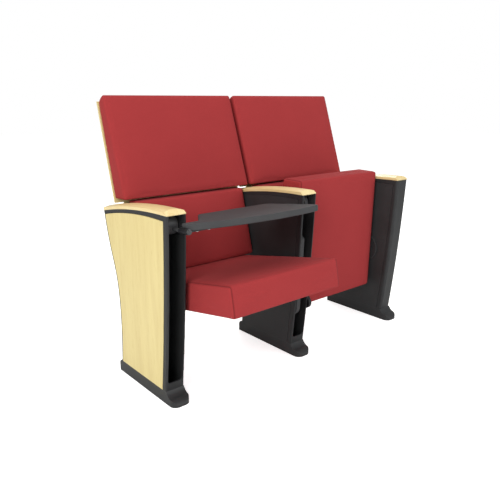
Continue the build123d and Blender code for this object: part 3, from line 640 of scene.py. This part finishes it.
def makePad(name, s, halfWidth):
    # gives the mesh of a finished pad lying in its own flat frame, with its place and facing kept
    # as attributes for the weave
    blank = closedMesh(name, padBlank(s, halfWidth))
    piece = bpy.data.objects.new(name, blank)
    bpy.context.scene.collection.objects.link(piece)
    remesh = piece.modifiers.new("even", "REMESH")
    remesh.mode, remesh.voxel_size = "VOXEL", s["voxel"]
    even = evaluated(piece)
    piece.modifiers.clear()
    piece.data = even
    swell(piece, s)
    smooth = piece.modifiers.new("smooth", "SUBSURF")
    smooth.levels = smooth.render_levels = 1
    fine = evaluated(piece)
    bpy.data.objects.remove(piece)
    points, facing = meshPoints(fine), meshNormals(fine)
    shade = np.zeros(len(points))
    # each seam sinks a groove and lays painted shade along it
    for seam in s["seams"]:
        groove = seam(points, facing)
        points -= facing * (s["seamDepth"] * groove)[:, None]
        shade = np.maximum(shade, s["seamShade"] * groove)
    fine.vertices.foreach_set("co", points.ravel())
    for label, rows in (("clothPlace", points), ("clothFacing", facing)):
        layer = fine.attributes.new(label, "FLOAT_VECTOR", "POINT")
        layer.data.foreach_set("vector", rows.ravel())
    layer = fine.attributes.new("seamShade", "FLOAT", "POINT")
    layer.data.foreach_set("value", shade.astype(np.float32))
    fine.update()
    return fine


def placePad(name, mesh, node, body, place):
    # a copy of the finished pad, carried to its seat by place, which maps flat rows to room rows
    copy = mesh.copy()
    copy.name = name
    copy.vertices.foreach_set("co", place(meshPoints(mesh)).ravel())
    copy.polygons.foreach_set("use_smooth", np.ones(len(copy.polygons), bool))
    copy.materials.clear()
    copy.materials.append(clothRed)
    copy.update()
    piece = bpy.data.objects.new(name, copy)
    bpy.context.scene.collection.objects.link(piece)
    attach(piece, body)
    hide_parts(node)
    return piece


def sideSeam(inset, width, sideFacing=0.95):
    # a groove at a fixed distance from each side, left out where the cloth faces the side itself
    def groove(points, facing):
        off = np.abs(points[:, 0]) - (np.abs(points[:, 0]).max() - inset)
        return np.exp(-(off / width) ** 2) * (np.abs(facing[:, 0]) < sideFacing)
    return groove


# seats: the flat frame has its origin on the pivot line and its front towards -Y
seatSettings = {
    "slope": 10.8, "tip": 78.0,               # degrees
    "radii": [0.010, 0.010, 0.007, 0.007],
    "crowns": [0.001, 0.005, 0.002, 0.002],   # rear, top, front, underside
    "room": 0.0008, "sideRound": 0.006,
    "voxel": 0.0056, "stiffness": 25.0, "pressure": 4.0, "cap": 0.004, "restsOn": (0, 0, 0),
    "seams": [sideSeam(0.0085, 0.0020)], "seamDepth": 0.0018, "seamShade": 0.8, "fill": 0.9,
}


def makeSeats(s):
    pivot = np.array(joints["left_seat_tip"]["pos_m"])
    turns = {"left": s["slope"], "right": s["slope"] + s["tip"]}
    flat = turnAboutX(nodePoints("left_seat_cushion"), turns["left"], pivot) - pivot
    low, high = flat.min(0), flat.max(0)
    s["corners"] = [(high[1], low[2]), (high[1], high[2]), (low[1], high[2]), (low[1], low[2])]
    mesh = makePad("seatPad", s, (high[0] - low[0]) / 2)
    for side, turn in turns.items():
        low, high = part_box(f"{side}_seat_cushion")
        origin = np.array([(low.x + high.x) / 2, pivot[1], pivot[2]])
        placePad(f"{side}SeatPad", mesh, f"{side}_seat_cushion", f"{side}_seat",
                 lambda rows, o=origin, t=turn: turnAboutX(rows + o, -t, o))
    print("seat pads made:", len(mesh.vertices), "points each")


# back pads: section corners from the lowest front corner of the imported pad's box, going up the rear
upperSettings = {
    "corners": [(0.0742, 0.0), (0.1581, 0.330), (0.1185, 0.352), (0.0, 0.004)],
    "radii": [0.004, 0.024, 0.008, 0.005],
    "crowns": [0.0, 0.001, 0.005, 0.0],       # rear, top, front, underside
    "room": 0.0008, "sideRound": 0.005,
    "voxel": 0.0056, "stiffness": 25.0, "pressure": 4.0, "cap": 0.004,
    "restsOn": (0, 0.968, -0.249),            # the way the pad faces its board
    "seams": [], "fill": 0.85,
}
lowerSettings = {
    "corners": [(0.050, 0.0), (0.1166, 0.2565), (0.0666, 0.2565), (0.0, 0.0)],
    "radii": [0.005, 0.005, 0.006, 0.007],
    "crowns": [0.0, 0.0, 0.004, 0.0],
    "room": 0.0008, "sideRound": 0.005,
    "voxel": 0.0056, "stiffness": 25.0, "pressure": 4.0, "cap": 0.003,
    "restsOn": (0, 0.968, -0.249),
    "seams": [], "fill": 0.85,
}


def makeBackPads(kind, s):
    low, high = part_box(f"left_{kind}_cushion")
    mesh = makePad(f"{kind}Pad", s, (high.x - low.x) / 2)
    for side in ("left", "right"):
        low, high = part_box(f"{side}_{kind}_cushion")
        origin = np.array([(low.x + high.x) / 2, low.y, low.z])
        placePad(f"{side}{kind.title()}Pad", mesh, f"{side}_{kind}_cushion", "chair",
                 lambda rows, o=origin: rows + o)
    print(kind, "back pads made:", len(mesh.vertices), "points each")


makeSeats(seatSettings)
makeBackPads("upper", upperSettings)
makeBackPads("lower", lowerSettings)
